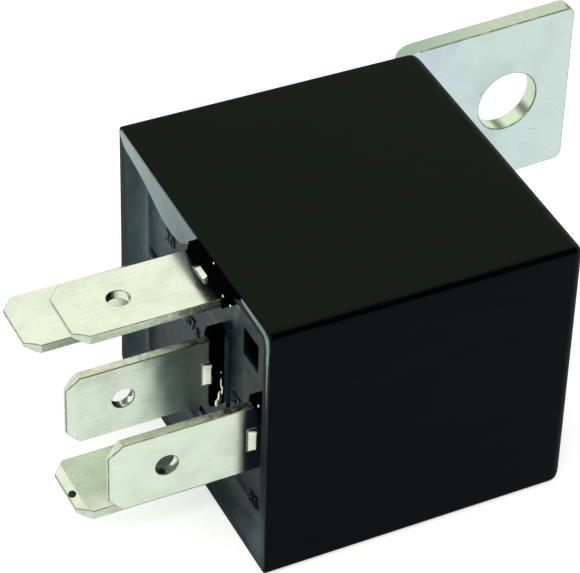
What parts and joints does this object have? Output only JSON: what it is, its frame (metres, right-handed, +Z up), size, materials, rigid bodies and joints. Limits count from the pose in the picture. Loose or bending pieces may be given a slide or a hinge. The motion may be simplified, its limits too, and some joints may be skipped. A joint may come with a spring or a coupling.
{
  "type": "immobilizer relay",
  "caption": "Sealed changeover relay: black moulded cover, flat blade tabs, a plated steel mounting bracket and a hinged armature inside.",
  "frame": {"origin": "centre of the cover's side face that the relay lies on", "axes": "+X from the blades to the closed end, +Y towards the bracket's leg, +Z up from the resting side"},
  "size_m": [0.0552, 0.0338, 0.024],
  "materials": {
    "cover_plastic": "satin moulded nylon, black",
    "base_plastic": "moulded, near black",
    "seal_resin": "glossy poured epoxy",
    "tinned_brass": "bright tin plating on brass",
    "soft_iron": "zinc flashed soft iron",
    "bobbin_nylon": "natural nylon",
    "enamelled_copper": "enamelled copper wire",
    "coil_tape_film": "yellow polyester film",
    "spring_bronze": "bronze strip",
    "contact_silver": "silver alloy",
    "rivet_steel": "plated steel",
    "zinc_plate": "bright zinc plating, slightly worn"
  },
  "bodies": {
    "relay": {"cover": "cover_plastic", "base": "base_plastic", "sealant": "seal_resin", "terminal_30": "tinned_brass", "terminal_85": "tinned_brass", "terminal_86": "tinned_brass", "terminal_87": "tinned_brass", "terminal_87a": "tinned_brass", "yoke": "soft_iron", "core": "soft_iron", "bobbin": "bobbin_nylon", "coil_winding": "enamelled_copper", "coil_tape": "coil_tape_film", "coil_lead_85": "enamelled_copper", "coil_lead_86": "enamelled_copper", "contact_spring": "spring_bronze", "open_contact": "contact_silver", "closed_contact": "contact_silver", "yoke_rivets": "rivet_steel", "mounting_bracket": "zinc_plate"},
    "armature": {"armature": "soft_iron", "moving_contact": "contact_silver", "armature_rivets": "rivet_steel"}
  },
  "joints": [
    {"name": "armature_tilt", "type": "hinge", "parent": "relay", "child": "armature", "pos_m": [0.0058, 0.0114, 0.012], "axis": [0, 0, -1], "range_deg": [0, 2.4], "stiffness_Nm_per_rad": 0.2, "springref_deg": -4.01, "deforming": ["contact_spring"]}
  ]
}
